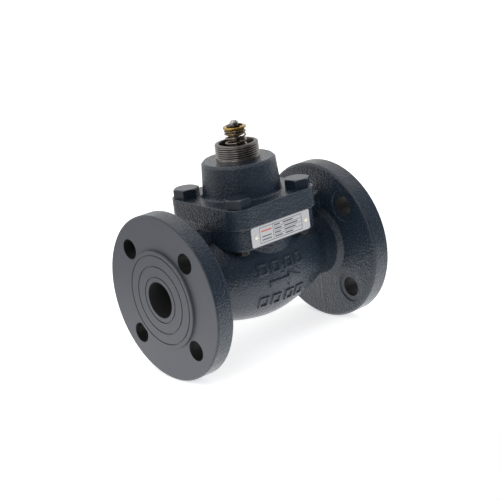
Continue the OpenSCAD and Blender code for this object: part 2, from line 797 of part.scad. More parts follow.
// Brass retainer: a flange on top of the spring and a hub inside it
module spring_retainer() {
    hub_d = (spring_d - 2 * wire_d) * cos(180 / rings_per_curl) - 2 * retainer_hub_gap;
    bore_r = stem_d / 2 + slip;
    flange_r = retainer_d / 2;
    edge = retainer_edge;
    color("#b8923e") about_stem([
        [bore_r, retainer_z - retainer_hub_l], [hub_d / 2 - edge, retainer_z - retainer_hub_l],
        [hub_d / 2, retainer_z - retainer_hub_l + edge], [hub_d / 2, retainer_z],
        [flange_r - edge, retainer_z], [flange_r, retainer_z + edge],
        [flange_r, retainer_top_z - edge], [flange_r - edge, retainer_top_z],
        [bore_r, retainer_top_z]
    ]);
}

// Open ring snapped into the stem's groove
module retaining_ring() {
    groove_r = stem_d / 2 - ring_groove_depth;
    color("#3b3733") difference() {
        stem_ring(ring_d, (groove_r + slip) * 2, retainer_top_z, ring_t, small);
        translate([stem_x, 0, retainer_top_z]) rotate([0, 0, ring_turn])
            translate([0, -ring_slot_w / 2, -over]) cube([ring_d, ring_slot_w, ring_t + 2 * over]);
    }
}

module at_rivets() {
    for (side = [-1, 1])
        translate([stem_x + side * rivet_pitch / 2, -pad_w / 2, plate_z + plate_h / 2])
            rotate([90, 0, 0]) children();
}

module nameplate() {
    side_l = plate_l - 2 * plate_corner_r;
    side_h = plate_h - 2 * plate_corner_r;
    color("#c9ccd0") difference() {
        translate([stem_x, -pad_w / 2, plate_z + plate_h / 2]) rotate([90, 0, 0])
            linear_extrude(plate_t) {
                square([plate_l, side_h], center = true);
                square([side_l, plate_h], center = true);
                for (sx = [-1, 1], sy = [-1, 1])
                    translate([sx * side_l / 2, sy * side_h / 2])
                        circle(r = plate_corner_r, $fn = small);
            }
        at_rivets() translate([0, 0, -over])
            cylinder(h = plate_t + 2 * over, d = rivet_shank_d + 2 * slip, $fn = small);
    }
}

// Round-headed drive rivets
module nameplate_rivets() {
    shank_r = rivet_shank_d / 2;
    head_r = rivet_d / 2;
    color("#d8dadc") at_rivets() rotate_extrude($fn = small) polygon(concat(
        [[0, -rivet_shank_l], [shank_r, -rivet_shank_l], [shank_r, plate_t], [head_r, plate_t]],
        [for (a = [15:15:75]) [head_r * cos(a), plate_t + rivet_head_h * sin(a)]],
        [[0, plate_t + rivet_head_h]]
    ));
}

valve_body();
seat_gasket();
seat_ring();
bonnet();
bonnet_gasket();
bonnet_bolts();
actuator_neck();
neck_seal();
sleeve_seal();
balance_sleeve();
plug();
piston_seal();
plug_pin();
stem();
guide_bush();
packing_washer();
packing_rings();
packing_follower();
gland_nut();
wiper_ring();
spring_seat();
stem_spring();
spring_retainer();
retaining_ring();
nameplate();
nameplate_rivets();
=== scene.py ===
"""Flanged globe control valve: its finishes, neck thread, stem spring and nameplate marks.

Lengths inside the functions are millimetres in the part's own frame: the origin is the
centre of the inlet's raised face, X runs with the flow and Z up the stem.
"""

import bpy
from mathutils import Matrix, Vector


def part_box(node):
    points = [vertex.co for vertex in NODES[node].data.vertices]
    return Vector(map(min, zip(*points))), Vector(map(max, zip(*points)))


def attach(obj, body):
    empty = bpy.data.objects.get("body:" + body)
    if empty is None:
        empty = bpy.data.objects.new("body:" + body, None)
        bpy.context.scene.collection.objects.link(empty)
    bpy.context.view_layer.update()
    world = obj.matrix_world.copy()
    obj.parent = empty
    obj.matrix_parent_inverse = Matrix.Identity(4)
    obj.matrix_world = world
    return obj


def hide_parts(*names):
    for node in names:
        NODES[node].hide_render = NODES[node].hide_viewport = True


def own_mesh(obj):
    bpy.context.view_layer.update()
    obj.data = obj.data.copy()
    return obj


bl_info = {
    "name": "Flanged Control Valve",
    "version": (1, 0, 0),
    "blender": (4, 5, 0),
    "location": "View3D > Sidebar > Valve",
    "description": "Dresses a control valve with its paint, metals, neck thread, spring and plate",
    "category": "Object",
}

import bpy
import numpy as np
from bpy.props import FloatProperty, FloatVectorProperty, PointerProperty
from mathutils import Matrix, Vector

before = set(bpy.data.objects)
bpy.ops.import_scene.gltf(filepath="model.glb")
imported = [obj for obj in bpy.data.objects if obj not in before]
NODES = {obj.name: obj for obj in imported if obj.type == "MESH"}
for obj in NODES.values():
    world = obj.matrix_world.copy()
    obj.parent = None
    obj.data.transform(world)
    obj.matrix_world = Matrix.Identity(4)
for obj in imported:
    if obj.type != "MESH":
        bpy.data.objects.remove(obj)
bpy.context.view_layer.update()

MM = 0.001


def node_box(name):
    """Lowest and highest corner of a CAD node, in millimetres."""
    low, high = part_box(name)
    return np.array(low) / MM, np.array(high) / MM


STEM_LOW, STEM_HIGH = node_box("stem")
NECK_LOW, NECK_HIGH = node_box("actuator_neck")
SPRING_LOW, SPRING_HIGH = node_box("stem_spring")
PLATE_LOW, PLATE_HIGH = node_box("nameplate")
BODY_LOW, BODY_HIGH = node_box("valve_body")
BONNET_LOW, BONNET_HIGH = node_box("bonnet")
STEM_X = float(STEM_LOW[0] + STEM_HIGH[0]) / 2
NECK_CREST = float(NECK_HIGH[0] - NECK_LOW[0]) / 2

# Places on the casting that its paint follows, in millimetres
FACE_DEPTH = 2.2  # of the machined faces, from the ends of the body
PORT_RADIUS = 12.6  # just outside the wall of a port
HOLE_PLACE = 85 / 2 / 2 ** 0.5  # of a bolt hole's axis, across and up, on its 85 mm circle
HOLE_RADIUS = 7.05  # just outside the wall of a bolt hole
FLANGE_T = 16.0  # a flange with its raised face
SPIGOT_REACH = 3.9  # from the spigot's foot to just under the joint of body and bonnet
FADE, HOLE_FADE = 0.3, 0.2  # width over which one coat gives way to the next
EDGE_HIGHLIGHT = 1.4  # how light the painted highlight on the edges is, beside the machined faces' coat

# The camera, fitted to the photograph's flanges, holes and edges: its lens and sensor in
# millimetres, its turns in degrees, and where the stem's foot lies from it, in millimetres
LENS, SENSOR = 98.03, 36.0
HEADING, TILT, ROLL = 38.61, 17.51, -6.89
ASIDE, UPWARD, AWAY = 0.77, -10.88, 948.7


def linear(hex_colour):
    """An sRGB hex colour as linear red, green and blue, by undoing the sRGB curve on each."""
    channel = np.array([int(hex_colour[i:i + 2], 16) / 255 for i in (1, 3, 5)])
    return tuple(np.where(channel <= 0.04045, channel / 12.92, ((channel + 0.055) / 1.055) ** 2.4))


def opaque(colour):
    """A colour with full alpha, as a node's socket takes it."""
    return (*colour[:3], 1.0)


def shade(colour, share):
    """A colour made darker or lighter by a share of itself."""
    return (*[min(1.0, channel * share) for channel in colour[:3]], 1.0)


OLD_OIL = linear("#272119")

# Sizes and colours that a user would change

COLOUR = {"subtype": "COLOR", "size": 3, "min": 0, "max": 1}


class CastingSettings(bpy.types.PropertyGroup):
    paint: FloatVectorProperty(
        name="Paint", description="Blue-grey enamel on the body and the bonnet",
        default=linear("#1c2631"), **COLOUR)
    face: FloatVectorProperty(
        name="Machined face", description="The same enamel, thin over the turned flange faces",
        default=linear("#40434a"), **COLOUR)
    bore: FloatVectorProperty(
        name="Bore", description="Oiled bare iron inside the ports",
        default=linear("#202022"), **COLOUR)
    peel: FloatProperty(
        name="Peel size", description="Width of a pebble of the painted sand skin, in millimetres",
        default=1.35, min=0.5, max=5)
    peel_height: FloatProperty(
        name="Peel height", description="Height of the pebbles, in millimetres",
        default=0.4, min=0.01, max=1)
    soft_edge: FloatProperty(
        name="Soft edge", description="Radius to which the cast edges are rounded, in millimetres",
        default=1.3, min=0, max=3)
    # The lighter line on the edges is a painted highlight: this is how much of it shows
    thin: FloatProperty(
        name="Thin edges", description="Share of the lighter undercoat that shows on the edges",
        default=0.75, min=0, max=1, subtype="FACTOR")
    seam_w: FloatProperty(
        name="Parting line", description="Width of the mould's parting line, in millimetres",
        default=2.0, min=0.4, max=3)
    seam_h: FloatProperty(
        name="Parting ridge", description="Height of the mould's parting line, in millimetres",
        default=0.35, min=0, max=1)


class NeckSettings(bpy.types.PropertyGroup):
    pitch: FloatProperty(
        name="Pitch", description="Pitch of the neck's thread, in millimetres",
        default=1.5, min=1, max=2)
    depth: FloatProperty(
        name="Depth", description="Depth of the neck's thread, in millimetres",
        default=0.675, min=0.3, max=0.9)
    steel: FloatVectorProperty(
        name="Steel", description="Oiled dark steel of the neck",
        default=linear("#a09b97"), **COLOUR)


class SpringSettings(bpy.types.PropertyGroup):
    curls: FloatProperty(name="Curls", description="Number of curls", default=9, min=6, max=10)
    wire: FloatProperty(
        name="Wire", description="Diameter of the spring's wire, in millimetres",
        default=1.25, min=1, max=1.3)
    end_pitch: FloatProperty(
        name="End pitch", description="Rise of the closed curl at each end, in millimetres",
        default=1.75, min=1.5, max=2)
    steel: FloatVectorProperty(
        name="Wire steel", description="Drawn spring steel", default=linear("#95897b"), **COLOUR)


class StemSettings(bpy.types.PropertyGroup):
    steel: FloatVectorProperty(
        name="Stem steel", description="Turned stainless steel",
        default=linear("#b4b2b0"), **COLOUR)
    brass: FloatVectorProperty(
        name="Brass", description="Turned brass of the spring retainer",
        default=linear("#c09d58"), **COLOUR)
    ring: FloatVectorProperty(
        name="Ring", description="Blackened spring steel of the retaining ring",
        default=linear("#453a31"), **COLOUR)


class PlateSettings(bpy.types.PropertyGroup):
    metal: FloatVectorProperty(
        name="Plate", description="Satin aluminium sheet", default=linear("#b9babd"), **COLOUR)
    rivet: FloatVectorProperty(
        name="Rivets", description="Tumbled aluminium of the rivets' heads",
        default=linear("#e6e1d0"), **COLOUR)
    ink: FloatVectorProperty(
        name="Ink", description="Dark grey of the blank form printed on the plate",
        default=linear("#2e3136"), **COLOUR)
    accent: FloatVectorProperty(
        name="Accent", description="Muted red of one rule on the plate",
        default=linear("#b0584c"), **COLOUR)


class StageSettings(bpy.types.PropertyGroup):
    world: FloatProperty(
        name="World", description="Strength of the white surroundings on the valve",
        default=0.58, min=0, max=2)
    below: FloatProperty(
        name="Below", description="Strength of the surroundings below the horizon",
        default=1.5, min=0, max=3)
    front: FloatProperty(
        name="Front", description="Strength of the dark side of the room in reflections",
        default=0.07, min=0, max=1)
    bounce: FloatProperty(
        name="Bounce", description="Glow of the floor on the valve's lower sides",
        default=1.0, min=0, max=2)
    mirrored: FloatProperty(
        name="Mirrored floor", description="Glow of the floor in reflections",
        default=0.95, min=0, max=2)
    key: FloatProperty(
        name="Key", description="Power of the large soft lamp",
        default=6.0, min=0, max=100, unit="POWER")
    fill: FloatProperty(
        name="Fill", description="Power of the overhead lamp",
        default=3.0, min=0, max=100, unit="POWER")
    side: FloatProperty(
        name="Side", description="Power of the lamp on the outlet's side",
        default=9.0, min=0, max=100, unit="POWER")


# Each group of settings, by its name on the scene, with the operator that uses it
SETTINGS = {
    "valve_casting": (CastingSettings, "valve.casting"),
    "valve_neck": (NeckSettings, "valve.neck"),
    "valve_spring": (SpringSettings, "valve.spring"),
    "valve_stem": (StemSettings, "valve.stem"),
    "valve_plate": (PlateSettings, "valve.plate"),
    "valve_stage": (StageSettings, "valve.stage"),
}


# Meshes


def grid_faces(rows, columns, around=False, along=False):
    """Quads between neighbouring points of a grid, closed across its columns or its rows if
    asked."""
    index = np.arange(rows * columns).reshape(rows, columns)
    if around:
        index = np.concatenate([index, index[:, :1]], axis=1)
    if along:
        index = np.concatenate([index, index[:1]], axis=0)
    corners = [index[:-1, :-1], index[:-1, 1:], index[1:, 1:], index[1:, :-1]]
    return np.stack(corners, axis=-1).reshape(-1, 4)


def make_piece(name, points, faces, body, finish, sharp=30):
    """A mesh object from points in millimetres, smooth but for edges sharper than the given
    angle in degrees."""
    mesh = bpy.data.meshes.new(name)
    places = (np.asarray(points).reshape(-1, 3) * MM).tolist()
    mesh.from_pydata(places, [], [list(face) for face in faces])
    mesh.polygons.foreach_set("use_smooth", np.ones(len(mesh.polygons), dtype=bool))
    mesh.set_sharp_from_angle(angle=float(np.radians(sharp)))
    mesh.validate()
    mesh.update()
    mesh.materials.append(finish)
    piece = bpy.data.objects.new(name, mesh)
    bpy.context.scene.collection.objects.link(piece)
    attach(piece, body)
    return piece


def revolve(radius, height, turns):
    """Points at radius and height round the stem: x = stem + r cos a, y = r sin a, z = height."""
    x = STEM_X + radius * np.cos(turns)
    y = radius * np.sin(turns)
    return np.stack([x, y, np.broadcast_to(height, x.shape)], axis=-1)


def thread_radius(height, turns, start, settings):
    """Radius of a right-handed thread: a V that winds up one pitch a turn, flat at crest and
    root, and runs out over its first pitch."""
    land, flank = 0.24, 0.66  # shares of the V that are left flat at the crest and that slope
    rise = (height - start) / settings.pitch
    groove = 1 - np.abs(2 * np.mod(rise - turns / (2 * np.pi), 1) - 1)
    cut = np.clip((groove - land) / flank, 0, 1)
    return NECK_CREST - settings.depth * cut * np.clip(rise, 0, 1)


def neck_points(settings, columns=216):
    """The neck's section carried round the stem, with the thread's radius along its outer wall."""
    low, top, boss = float(NECK_LOW[2]), float(NECK_HIGH[2]), float(BONNET_HIGH[2])
    # The hole for the stem's gland, the shank in the boss, and the room for the spring
    hole, shank, bore, floor, chamfer = 8.683, NECK_CREST - 0.5, 12.0, low + 3, 0.4
    # The threaded wall's foot and head, and where the thread starts in it
    foot, head, start, rows_per_pitch = boss + 0.25, top - 0.75, boss + 1.2, 12
    # The rounded outer and inner edge of the top: how far in and down each point is
    outer = np.array([[0.1, 0.72], [0.55, 0.12], [0.8, 0.0]])
    inner = np.array([[-0.5, 0.0], [-0.14, 0.14], [0.0, 0.5]])
    shoulder = [[hole, low], [shank - chamfer, low], [shank, low + chamfer], [shank, boss],
                [NECK_CREST, boss]]
    wall = np.arange(foot, head, settings.pitch / rows_per_pitch)
    profile = np.concatenate([
        shoulder, np.stack([np.full_like(wall, NECK_CREST), wall], axis=1),
        [NECK_CREST, top] - outer, [bore, top] - inner, [[bore, floor], [hole, floor]]])
    turns = np.linspace(0, 2 * np.pi, columns, endpoint=False)[None, :]
    radius = np.repeat(profile[:, :1], columns, axis=1)
    height = profile[:, 1:]
    threaded = slice(len(shoulder), len(shoulder) + len(wall))
    radius[threaded] = thread_radius(height[threaded], turns, start, settings)
    return revolve(radius, height, turns), len(profile), columns


def spring_rise(curl, settings, total):
    """Height of the wire's centre after a number of curls: closed for 0.8 of a curl at each end,
    a smooth change over the next 1.2 curls, and between them the steady pitch that makes the two
    halves meet in the middle."""
    curls = settings.curls
    closed, ease = 0.8, 1.2

    def full(t):
        u = np.clip((t - closed) / ease, 0, 1)
        return np.maximum(0, t - closed - ease) + ease * (u ** 3 - u ** 4 / 2)

    pitch = settings.end_pitch + (total / 2 - settings.end_pitch * curls / 2) / full(curls / 2)

    def half(t):
        return settings.end_pitch * t + (pitch - settings.end_pitch) * full(t)

    return np.where(curl < curls / 2, half(curl), total - half(curls - curl))


def spring_points(settings, rings=44, sides=14):
    """A round wire carried up a right-handed helix. With w the wire's radius and s the turn round
    the wire, a point's radius is the helix's plus w cos s, and its height the centre's plus
    w sin s."""
    end_turn = 290  # where the wire's upper end stands round the stem, in degrees
    mean = float(SPRING_HIGH[0] - SPRING_LOW[0]) / 2 - settings.wire / 2
    foot, head = float(SPRING_LOW[2]), float(SPRING_HIGH[2])
    curl = np.linspace(0, settings.curls, int(settings.curls * rings) + 1)[:, None]
    turn = np.radians(end_turn + 360 * (curl - settings.curls))
    centre = foot + settings.wire / 2 + spring_rise(curl, settings, head - foot - settings.wire)
    side = np.linspace(0, 2 * np.pi, sides, endpoint=False)[None, :]
    radius = mean + settings.wire / 2 * np.cos(side)
    points = revolve(radius, 0.0, turn)
    points[..., 2] = centre + settings.wire / 2 * np.sin(side)
    return points, len(curl), sides


def slab_points(centres, sizes, front, lift, sunk=0.05):
    """Boxes on the plate's front: a corner lies half the size across and up from its centre, and
    each box stands out by lift and is sunk a little into the plate."""
    corner = np.array([[-1, -1], [1, -1], [1, 1], [-1, 1]]) / 2
    flat = centres[:, None, :] + corner[None] * sizes[:, None, :]
    layers = []
    for depth in (front + sunk, front - lift):
        deep = np.full(flat.shape[:2] + (1,), depth)
        layers.append(np.concatenate([flat[..., :1], deep, flat[..., 1:]], axis=-1))
    return np.concatenate(layers, axis=1).reshape(-1, 3)


def slab_faces(count):
    """The six sides of each of a number of boxes."""
    box = np.array([
        [0, 3, 2, 1], [4, 5, 6, 7], [0, 1, 5, 4], [1, 2, 6, 5], [2, 3, 7, 6], [3, 0, 4, 7]])
    return (box[None] + 8 * np.arange(count)[:, None, None]).reshape(-1, 4)


# Materials


def put(tree, kind, inputs=(), **options):
    """Adds one shader node, sets its options, and sets or links its inputs."""
    node = tree.nodes.new(kind)
    for key, value in options.items():
        setattr(node, key, value)
    for key, value in dict(inputs).items():
        if isinstance(value, bpy.types.NodeSocket):
            tree.links.new(value, node.inputs[key])
        else:
            node.inputs[key].default_value = value
    return node


def new_finish(name, **values):
    """A material with its shader's plain values set, its node tree and its shader."""
    finish = bpy.data.materials.new(name)
    finish.use_nodes = True
    tree = finish.node_tree
    shader = tree.nodes["Principled BSDF"]
    for key, value in values.items():
        shader.inputs[key.replace("_", " ")].default_value = value
    return finish, tree, shader


def plug_in(tree, shader, **sockets):
    """Links outputs to the shader's inputs, which are named with an underscore for a space."""
    for key, socket in sockets.items():
        tree.links.new(socket, shader.inputs[key.replace("_", " ")])


def edges_with_painted_highlight(tree, radius_mm, share):
    """Normals rounded over an edge radius, and a mask of the edges for a painted highlight: there
    the rounded normal turns away from the face's own. The mask reaches the given share."""
    begins, thinnest = 0.99, 0.9  # cosines of that turn
    rounded = put(tree, "ShaderNodeBevel", {"Radius": radius_mm * MM}, samples=6).outputs[0]
    face = put(tree, "ShaderNodeNewGeometry").outputs["True Normal"]
    turn = put(tree, "ShaderNodeVectorMath", {0: face, 1: rounded}, operation="DOT_PRODUCT")
    thin = put(tree, "ShaderNodeMapRange", {
        "Value": turn.outputs["Value"], "From Min": begins, "From Max": thinnest,
        "To Max": share})
    return rounded, thin.outputs[0]


def casting_masks(tree, place, settings):
    """Distance from the pipe's axis, and five masks of the casting: its machined faces, ports,
    bolt holes, parting line, and what stands above the joint of body and bonnet."""
    axes = put(tree, "ShaderNodeSeparateXYZ", {"Vector": place}).outputs
    half = float(BODY_HIGH[0]) / 2

    # Distance from the middle of the body, largest on the machined faces at its ends
    middle = put(tree, "ShaderNodeMath", {0: axes["X"], 1: half * MM}, operation="SUBTRACT")
    reach = put(tree, "ShaderNodeMath", {0: middle.outputs[0]}, operation="ABSOLUTE").outputs[0]
    machined = put(tree, "ShaderNodeMapRange", {
        "Value": reach, "From Min": (half - FACE_DEPTH - FADE) * MM,
        "From Max": (half - FACE_DEPTH) * MM})
    # Distance from the pipe's axis
    across = put(tree, "ShaderNodeCombineXYZ", {"Y": axes["Y"], "Z": axes["Z"]}).outputs[0]
    radius = put(tree, "ShaderNodeVectorMath", {0: across}, operation="LENGTH").outputs["Value"]
    port = put(tree, "ShaderNodeMapRange", {
        "Value": radius, "From Min": (PORT_RADIUS + FADE) * MM, "From Max": PORT_RADIUS * MM})
    # Distance from the nearest bolt hole's axis, whose drilled wall is as bare as the ports and
    # darker still with painted shade
    folded = put(tree, "ShaderNodeVectorMath", {0: across}, operation="ABSOLUTE")
    hole = put(tree, "ShaderNodeVectorMath", {
        0: folded.outputs[0], 1: (0, HOLE_PLACE * MM, HOLE_PLACE * MM)}, operation="DISTANCE")
    wall = put(tree, "ShaderNodeMapRange", {
        "Value": hole.outputs["Value"], "From Min": (HOLE_RADIUS + HOLE_FADE) * MM,
        "From Max": HOLE_RADIUS * MM})
    flange = put(tree, "ShaderNodeMath", {
        0: reach, 1: (half - FLANGE_T) * MM}, operation="GREATER_THAN")
    drilled_and_shaded = put(tree, "ShaderNodeMath", {
        0: wall.outputs[0], 1: flange.outputs[0]}, operation="MULTIPLY")
    # Parting line along the middle of the body, up to the bonnet, which has none
    joint = (float(BONNET_LOW[2]) + SPIGOT_REACH) * MM
    below = put(tree, "ShaderNodeMath", {0: axes["Z"], 1: joint}, operation="LESS_THAN")
    above = put(tree, "ShaderNodeMath", {0: axes["Z"], 1: joint}, operation="GREATER_THAN")
    aside = put(tree, "ShaderNodeMath", {0: axes["Y"]}, operation="ABSOLUTE")
    crest = put(tree, "ShaderNodeMapRange", {
        "Value": aside.outputs[0], "From Min": settings.seam_w / 2 * MM,
        "From Max": settings.seam_w / 5 * MM}, interpolation_type="SMOOTHSTEP")
    ridge = put(tree, "ShaderNodeMath", {
        0: crest.outputs[0], 1: below.outputs[0]}, operation="MULTIPLY")
    masks = [node.outputs[0] for node in (machined, port, drilled_and_shaded, ridge, above)]
    return radius, *masks


def casting_paint(settings):
    """Blue-grey enamel brushed over sand-cast grey iron: a pebbled half-gloss skin on the cast
    sides, a thinner and smoother coat with faint turning marks on the machined flange faces,
    and oiled dark iron inside the ports."""
    swell_mm, grain_mm, ring_mm = 9, 0.5, 0.8
    cut_height, cut_edge = 0.03, 0.25  # of the marks and edges that the lathe left, in mm
    pebble_share, ring_share = 1.6, 0.08  # in the height, beside the swells and the grain
    finish, tree, shader = new_finish("enamelled_cast_iron", IOR=1.5)
    place = put(tree, "ShaderNodeTexCoord").outputs["Object"]
    radius, machined, port, drilled_and_shaded, ridge, above = casting_masks(tree, place, settings)
    ported = put(tree, "ShaderNodeMath", {0: port, 1: drilled_and_shaded}, operation="MAXIMUM").outputs[0]

    # Pebbles of the painted sand skin, slow swells of the pattern under it, and a fine grain
    pebbles, swells, grain = (put(tree, "ShaderNodeTexNoise", {
        "Vector": place, "Scale": 1 / (size * MM), "Detail": detail, "Roughness": rough,
    }).outputs["Fac"] for size, detail, rough in (
        (settings.peel, 2.5, 0.55), (swell_mm, 2.0, 0.5), (grain_mm, 1.0, 0.5)))
    # Turning marks: rings round the pipe's axis, drawn 0.8 mm apart so that they show
    rings = put(tree, "ShaderNodeMath", {
        0: radius, 1: 2 * np.pi / (ring_mm * MM)}, operation="MULTIPLY")
    turned = put(tree, "ShaderNodeMath", {0: rings.outputs[0]}, operation="SINE")

    # Colour: uneven paint; a painted highlight, a lighter line on the edges of the bonnet and the
    # tops of the rims; a lighter parting line; the machined faces; ports; bolt holes, with painted
    # shade
    rounded, thin = edges_with_painted_highlight(tree, settings.soft_edge, settings.thin)
    edges = put(tree, "ShaderNodeMath", {0: thin, 1: above}, operation="MULTIPLY").outputs[0]
    colour = shade(settings.paint, 0.86)
    for mask, over in (
            (swells, shade(settings.paint, 1.16)), (edges, shade(settings.face, EDGE_HIGHLIGHT)),
            # the parting line, coloured lighter than the paint round it
            (ridge, shade(settings.face, 0.8)), (machined, opaque(settings.face)),
            # the bolt holes' walls: bare iron, darkened further as painted shade
            (port, opaque(settings.bore)), (drilled_and_shaded, shade(settings.bore, 0.3))):
        colour = put(tree, "ShaderNodeMix", {
            "Factor": mask, "A": colour, "B": over}, data_type="RGBA").outputs["Result"]

    # Roughness: glossiest between the pebbles, duller on the machined and bare iron
    gloss = put(tree, "ShaderNodeMapRange", {
        "Value": pebbles, "From Min": 0.3, "From Max": 0.7, "To Min": 0.18, "To Max": 0.3,
    }).outputs[0]
    for mask, over in ((machined, 0.44), (ported, 0.6)):
        gloss = put(tree, "ShaderNodeMix", {
            "Factor": mask, "A": gloss, "B": over}, data_type="FLOAT").outputs["Result"]

    # Height: the cast skin with its parting ridge, or the lathe's marks where iron was cut
    skin = put(tree, "ShaderNodeMath", {
        0: pebbles, 1: pebble_share, 2: swells}, operation="MULTIPLY_ADD")
    rough = put(tree, "ShaderNodeMath", {
        0: ridge, 1: settings.seam_h / settings.peel_height, 2: skin.outputs[0]},
        operation="MULTIPLY_ADD")
    cast = put(tree, "ShaderNodeBump", {
        "Height": rough.outputs[0], "Distance": settings.peel_height * MM, "Normal": rounded})
    fine = put(tree, "ShaderNodeMath", {
        0: turned.outputs[0], 1: ring_share, 2: grain}, operation="MULTIPLY_ADD")
    crisp = put(tree, "ShaderNodeBevel", {"Radius": cut_edge * MM}, samples=4)
    lathe = put(tree, "ShaderNodeBump", {
        "Height": fine.outputs[0], "Distance": cut_height * MM, "Normal": crisp.outputs[0]})
    cut = put(tree, "ShaderNodeMath", {0: machined, 1: ported}, operation="MAXIMUM")
    normal = put(tree, "ShaderNodeMix", {
        "Factor": cut.outputs[0], "A": cast.outputs[0], "B": lathe.outputs[0]},
        data_type="VECTOR")
    plug_in(tree, shader, Base_Color=colour, Roughness=gloss, Normal=normal.outputs["Result"])
    return finish


def fastener_paint(settings):
    """The same enamel sprayed over forged hexagon heads: thinner and smoother than on the
    casting, with a painted highlight on its edges. The bolts' ends under the body's pad are
    coloured near-black."""
    film_mm, edge_mm, film_height = 2.4, 0.5, 0.1
    finish, tree, shader = new_finish("enamelled_steel", IOR=1.5)
    place = put(tree, "ShaderNodeTexCoord").outputs["Object"]
    film = put(tree, "ShaderNodeTexNoise", {
        "Vector": place, "Scale": 1 / (film_mm * MM), "Detail": 2.0}).outputs["Fac"]
    # A painted highlight along the edges of the heads
    rounded, thin = edges_with_painted_highlight(tree, edge_mm, settings.thin)
    # The bolts' ends below the bonnet's lowest point are coloured near-black
    height = put(tree, "ShaderNodeSeparateXYZ", {"Vector": place}).outputs["Z"]
    ends = put(tree, "ShaderNodeMath", {
        0: height, 1: float(BONNET_LOW[2]) * MM}, operation="LESS_THAN").outputs[0]
    colour = shade(settings.paint, 0.65)
    for mask, over in (
            (film, shade(settings.paint, 0.9)), (thin, shade(settings.face, EDGE_HIGHLIGHT)),
            (ends, shade(settings.bore, 0.4))):
        colour = put(tree, "ShaderNodeMix", {
            "Factor": mask, "A": colour, "B": over}, data_type="RGBA").outputs["Result"]
    gloss = put(tree, "ShaderNodeMapRange", {"Value": film, "To Min": 0.18, "To Max": 0.34})
    bump = put(tree, "ShaderNodeBump", {
        "Height": film, "Distance": film_height * MM, "Strength": 0.8, "Normal": rounded})
    plug_in(tree, shader, Base_Color=colour, Roughness=gloss.outputs[0], Normal=bump.outputs[0])
    return finish


def metal(name, colour, roughness, grain_mm, height_mm, edge_mm=0.12, stain=0.0,
          stain_colour=OLD_OIL, groove=None, metallic=1.0):
    """A bare metal with its own colour: fine grain in gloss and height, soft edges, and a film
    of old oil that gathers in patches where stain is above zero. Below the outer radius of a
    groove that runs round the stem, given as its inner and outer radius, it is darker with
    old oil and painted shade."""
    film_mm, groove_oil_and_shade = 3.5, 0.75
    patch_rim, patch_core = 0.38, 0.68  # of the film's noise, where a patch begins and is full
    finish, tree, shader = new_finish(name, Metallic=metallic)
    place = put(tree, "ShaderNodeTexCoord").outputs["Object"]
    grain = put(tree, "ShaderNodeTexNoise", {
        "Vector": place, "Scale": 1 / (grain_mm * MM), "Detail": 2.0}).outputs["Fac"]
    film = put(tree, "ShaderNodeTexNoise", {
        "Vector": place, "Scale": 1 / (film_mm * MM), "Detail": 3.0}).outputs["Fac"]
    patch = put(tree, "ShaderNodeMapRange", {
        "Value": film, "From Min": patch_rim, "From Max": patch_core, "To Max": stain})
    # Darker below the groove's outer radius, darkest inside its inner: old oil and painted shade
    if groove:
        out = put(tree, "ShaderNodeVectorMath", {
            0: place, 1: (STEM_X * MM, 0, 0)}, operation="SUBTRACT")
        flat = put(tree, "ShaderNodeVectorMath", {
            0: out.outputs[0], 1: (1, 1, 0)}, operation="MULTIPLY")
        radius = put(tree, "ShaderNodeVectorMath", {0: flat.outputs[0]}, operation="LENGTH")
        deep = put(tree, "ShaderNodeMapRange", {
            "Value": radius.outputs["Value"], "From Min": groove[0] * MM,
            "From Max": groove[1] * MM, "To Min": groove_oil_and_shade, "To Max": 0.0})
        patch = put(tree, "ShaderNodeMath", {
            0: patch.outputs[0], 1: deep.outputs[0]}, operation="MAXIMUM")
    tint = put(tree, "ShaderNodeMix", {
        "Factor": patch.outputs[0], "A": opaque(colour), "B": opaque(stain_colour)},
        data_type="RGBA")
    gloss = put(tree, "ShaderNodeMapRange", {
        "Value": grain, "To Min": roughness * 0.75, "To Max": roughness * 1.3})
    edge = put(tree, "ShaderNodeBevel", {"Radius": edge_mm * MM}, samples=4)
    bump = put(tree, "ShaderNodeBump", {
        "Height": grain, "Distance": height_mm * MM, "Normal": edge.outputs[0]})
    plug_in(tree, shader, Base_Color=tint.outputs["Result"], Roughness=gloss.outputs[0],
            Normal=bump.outputs[0])
    return finish


def brushed_sheet(settings):
    """Rolled aluminium sheet, brushed along its length: streaks 0.25 mm wide and 12 mm long,
    which give a soft sheen across them."""
    streak_w, streak_l, streak_height, edge_mm = 0.25, 12, 0.01, 0.25
    finish, tree, shader = new_finish("brushed_aluminium_sheet", Metallic=0.4)
    place = put(tree, "ShaderNodeTexCoord").outputs["Object"]
    stretch = put(tree, "ShaderNodeMapping", {
        "Vector": place, "Scale": (1 / streak_l, 1.0, 1 / streak_w)})
    streaks = put(tree, "ShaderNodeTexNoise", {
        "Vector": stretch.outputs[0], "Scale": 1 / MM, "Detail": 2.0}).outputs["Fac"]
    tint = put(tree, "ShaderNodeMix", {
        "Factor": streaks, "A": shade(settings.metal, 0.93), "B": shade(settings.metal, 1.06)},
        data_type="RGBA")
    gloss = put(tree, "ShaderNodeMapRange", {"Value": streaks, "To Min": 0.42, "To Max": 0.56})
    edge = put(tree, "ShaderNodeBevel", {"Radius": edge_mm * MM}, samples=4)
    bump = put(tree, "ShaderNodeBump", {
        "Height": streaks, "Distance": streak_height * MM, "Normal": edge.outputs[0]})
    plug_in(tree, shader, Base_Color=tint.outputs["Result"], Roughness=gloss.outputs[0],
            Normal=bump.outputs[0])
    return finish


